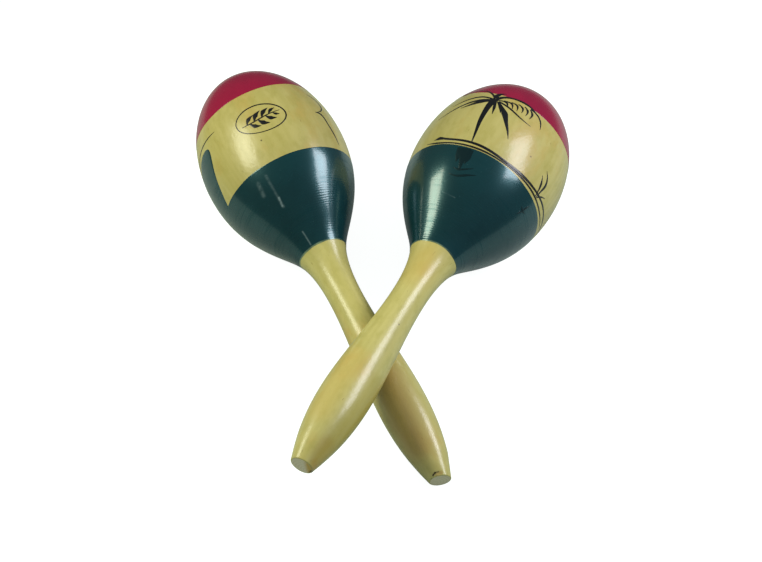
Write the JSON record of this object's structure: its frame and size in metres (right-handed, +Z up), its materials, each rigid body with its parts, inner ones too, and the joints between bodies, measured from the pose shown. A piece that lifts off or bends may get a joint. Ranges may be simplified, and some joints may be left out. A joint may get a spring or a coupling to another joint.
{
  "type": "maracas",
  "caption": "Turned wooden maracas with long grips and hollow, seed-filled egg-shaped heads, lying with their handles crossed.",
  "frame": {"origin": "table level under the middle of the pair as it lies", "axes": "+Z up, +Y from the handle ends towards the heads, +X to the right when seen from the handle ends"},
  "size_m": [0.205, 0.272, 0.0832],
  "materials": {
    "handle_wood": "clear gloss lacquer over pale yellow wood",
    "crown_wood": "clear gloss lacquer over pale yellow wood",
    "green_lacquer": "dark blue-green gloss lacquer on wood",
    "red_lacquer": "dark red gloss lacquer on wood",
    "black_ink": "black brush strokes under clear lacquer",
    "end_grain": "bare sawn end grain",
    "seed": "dry matt seed husk"
  },
  "bodies": {
    "left": {"left_handle": "handle_wood", "left_bowl": "green_lacquer", "left_crown": "crown_wood"},
    "right": {"right_handle": "handle_wood", "right_bowl": "green_lacquer", "right_crown": "crown_wood"},
    "left_seed_01": {"left_seed_01": "seed"},
    "left_seed_02": {"left_seed_02": "seed"},
    "left_seed_03": {"left_seed_03": "seed"},
    "left_seed_04": {"left_seed_04": "seed"},
    "left_seed_05": {"left_seed_05": "seed"},
    "left_seed_06": {"left_seed_06": "seed"},
    "left_seed_07": {"left_seed_07": "seed"},
    "left_seed_08": {"left_seed_08": "seed"},
    "left_seed_09": {"left_seed_09": "seed"},
    "left_seed_10": {"left_seed_10": "seed"},
    "left_seed_11": {"left_seed_11": "seed"},
    "left_seed_12": {"left_seed_12": "seed"},
    "left_seed_13": {"left_seed_13": "seed"},
    "left_seed_14": {"left_seed_14": "seed"},
    "right_seed_01": {"right_seed_01": "seed"},
    "right_seed_02": {"right_seed_02": "seed"},
    "right_seed_03": {"right_seed_03": "seed"},
    "right_seed_04": {"right_seed_04": "seed"},
    "right_seed_05": {"right_seed_05": "seed"},
    "right_seed_06": {"right_seed_06": "seed"},
    "right_seed_07": {"right_seed_07": "seed"},
    "right_seed_08": {"right_seed_08": "seed"},
    "right_seed_09": {"right_seed_09": "seed"},
    "right_seed_10": {"right_seed_10": "seed"},
    "right_seed_11": {"right_seed_11": "seed"},
    "right_seed_12": {"right_seed_12": "seed"},
    "right_seed_13": {"right_seed_13": "seed"},
    "right_seed_14": {"right_seed_14": "seed"}
  },
  "joints": [
    {"name": "right_lift", "type": "slide", "parent": "left", "child": "right", "axis": [0, 0, 1], "range_m": [0, 0.15]},
    {"name": "left_seed_01_rattle", "type": "slide", "parent": "left", "child": "left_seed_01", "axis": [0, 0, 1], "range_m": [0, 0.0592]},
    {"name": "left_seed_02_rattle", "type": "slide", "parent": "left", "child": "left_seed_02", "axis": [0, 0, 1], "range_m": [0, 0.0602]},
    {"name": "left_seed_03_rattle", "type": "slide", "parent": "left", "child": "left_seed_03", "axis": [0, 0, 1], "range_m": [0, 0.0592]},
    {"name": "left_seed_04_rattle", "type": "slide", "parent": "left", "child": "left_seed_04", "axis": [0, 0, 1], "range_m": [0, 0.0602]},
    {"name": "left_seed_05_rattle", "type": "slide", "parent": "left", "child": "left_seed_05", "axis": [0, 0, 1], "range_m": [0, 0.0621]},
    {"name": "left_seed_06_rattle", "type": "slide", "parent": "left", "child": "left_seed_06", "axis": [0, 0, 1], "range_m": [0, 0.0621]},
    {"name": "left_seed_07_rattle", "type": "slide", "parent": "left", "child": "left_seed_07", "axis": [0, 0, 1], "range_m": [0, 0.0602]},
    {"name": "left_seed_08_rattle", "type": "slide", "parent": "left", "child": "left_seed_08", "axis": [0, 0, 1], "range_m": [0, 0.0617]},
    {"name": "left_seed_09_rattle", "type": "slide", "parent": "left", "child": "left_seed_09", "axis": [0, 0, 1], "range_m": [0, 0.0636]},
    {"name": "left_seed_10_rattle", "type": "slide", "parent": "left", "child": "left_seed_10", "axis": [0, 0, 1], "range_m": [0, 0.0636]},
    {"name": "left_seed_11_rattle", "type": "slide", "parent": "left", "child": "left_seed_11", "axis": [0, 0, 1], "range_m": [0, 0.0617]},
    {"name": "left_seed_12_rattle", "type": "slide", "parent": "left", "child": "left_seed_12", "axis": [0, 0, 1], "range_m": [0, 0.0638]},
    {"name": "left_seed_13_rattle", "type": "slide", "parent": "left", "child": "left_seed_13", "axis": [0, 0, 1], "range_m": [0, 0.0647]},
    {"name": "left_seed_14_rattle", "type": "slide", "parent": "left", "child": "left_seed_14", "axis": [0, 0, 1], "range_m": [0, 0.0638]},
    {"name": "right_seed_01_rattle", "type": "slide", "parent": "right", "child": "right_seed_01", "axis": [0, 0, 1], "range_m": [0, 0.0659]},
    {"name": "right_seed_02_rattle", "type": "slide", "parent": "right", "child": "right_seed_02", "axis": [0, 0, 1], "range_m": [0, 0.0668]},
    {"name": "right_seed_03_rattle", "type": "slide", "parent": "right", "child": "right_seed_03", "axis": [0, 0, 1], "range_m": [0, 0.0659]},
    {"name": "right_seed_04_rattle", "type": "slide", "parent": "right", "child": "right_seed_04", "axis": [0, 0, 1], "range_m": [0, 0.0653]},
    {"name": "right_seed_05_rattle", "type": "slide", "parent": "right", "child": "right_seed_05", "axis": [0, 0, 1], "range_m": [0, 0.0671]},
    {"name": "right_seed_06_rattle", "type": "slide", "parent": "right", "child": "right_seed_06", "axis": [0, 0, 1], "range_m": [0, 0.0671]},
    {"name": "right_seed_07_rattle", "type": "slide", "parent": "right", "child": "right_seed_07", "axis": [0, 0, 1], "range_m": [0, 0.0653]},
    {"name": "right_seed_08_rattle", "type": "slide", "parent": "right", "child": "right_seed_08", "axis": [0, 0, 1], "range_m": [0, 0.0653]},
    {"name": "right_seed_09_rattle", "type": "slide", "parent": "right", "child": "right_seed_09", "axis": [0, 0, 1], "range_m": [0, 0.0671]},
    {"name": "right_seed_10_rattle", "type": "slide", "parent": "right", "child": "right_seed_10", "axis": [0, 0, 1], "range_m": [0, 0.0671]},
    {"name": "right_seed_11_rattle", "type": "slide", "parent": "right", "child": "right_seed_11", "axis": [0, 0, 1], "range_m": [0, 0.0653]},
    {"name": "right_seed_12_rattle", "type": "slide", "parent": "right", "child": "right_seed_12", "axis": [0, 0, 1], "range_m": [0, 0.0659]},
    {"name": "right_seed_13_rattle", "type": "slide", "parent": "right", "child": "right_seed_13", "axis": [0, 0, 1], "range_m": [0, 0.0667]},
    {"name": "right_seed_14_rattle", "type": "slide", "parent": "right", "child": "right_seed_14", "axis": [0, 0, 1], "range_m": [0, 0.0659]}
  ]
}
